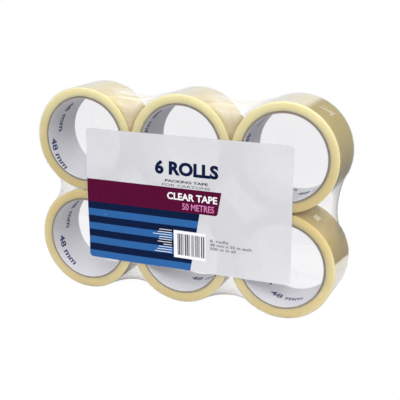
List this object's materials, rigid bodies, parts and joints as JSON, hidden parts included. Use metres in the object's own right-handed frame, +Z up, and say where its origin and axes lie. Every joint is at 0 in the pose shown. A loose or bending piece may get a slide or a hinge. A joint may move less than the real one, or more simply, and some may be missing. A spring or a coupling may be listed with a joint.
{
  "type": "shrink-wrapped pack of packing tape rolls",
  "caption": "Pack of clear packing tape rolls on card cores, stacked in rows inside clear shrink film, with a printed label on the front.",
  "frame": {"origin": "bottom centre of the pack's box, standing on its lower row", "axes": "+X along the rows to the right of the front, -Y out of the labelled front, +Z up"},
  "size_m": [0.292, 0.0494, 0.1948],
  "materials": {
    "tape": "clear brown-tinted adhesive tape wound in layers, glossy outer lap",
    "kraft_core": "spiral-wound kraft board, matt",
    "core_liner": "white paper ply with small navy print",
    "shrink_film": "thin clear shrink film, glossy, with creases and a seam round the middle",
    "label": "frosted film label with plain printed colour bands"
  },
  "bodies": {
    "wrapper": {"film_front": "shrink_film", "film_back": "shrink_film", "label": "label"},
    "lower_left_roll": {"lower_left_winding": "tape", "lower_left_core": "kraft_core", "lower_left_liner": "core_liner"},
    "lower_middle_roll": {"lower_middle_winding": "tape", "lower_middle_core": "kraft_core", "lower_middle_liner": "core_liner"},
    "lower_right_roll": {"lower_right_winding": "tape", "lower_right_core": "kraft_core", "lower_right_liner": "core_liner"},
    "upper_left_roll": {"upper_left_winding": "tape", "upper_left_core": "kraft_core", "upper_left_liner": "core_liner"},
    "upper_middle_roll": {"upper_middle_winding": "tape", "upper_middle_core": "kraft_core", "upper_middle_liner": "core_liner"},
    "upper_right_roll": {"upper_right_winding": "tape", "upper_right_core": "kraft_core", "upper_right_liner": "core_liner"}
  },
  "joints": [
    {"name": "lower_left_turn", "type": "hinge", "parent": "wrapper", "child": "lower_left_roll", "pos_m": [-0.0973, 0.00022, 0.04875], "axis": [0, 1, 0], "continuous": true},
    {"name": "lower_middle_turn", "type": "hinge", "parent": "wrapper", "child": "lower_middle_roll", "pos_m": [0, 0.00022, 0.04875], "axis": [0, 1, 0], "continuous": true},
    {"name": "lower_right_turn", "type": "hinge", "parent": "wrapper", "child": "lower_right_roll", "pos_m": [0.0973, 0.00022, 0.04875], "axis": [0, 1, 0], "continuous": true},
    {"name": "upper_left_turn", "type": "hinge", "parent": "wrapper", "child": "upper_left_roll", "pos_m": [-0.0973, 0.00022, 0.14605], "axis": [0, 1, 0], "continuous": true},
    {"name": "upper_middle_turn", "type": "hinge", "parent": "wrapper", "child": "upper_middle_roll", "pos_m": [0, 0.00022, 0.14605], "axis": [0, 1, 0], "continuous": true},
    {"name": "upper_right_turn", "type": "hinge", "parent": "wrapper", "child": "upper_right_roll", "pos_m": [0.0973, 0.00022, 0.14605], "axis": [0, 1, 0], "continuous": true}
  ]
}
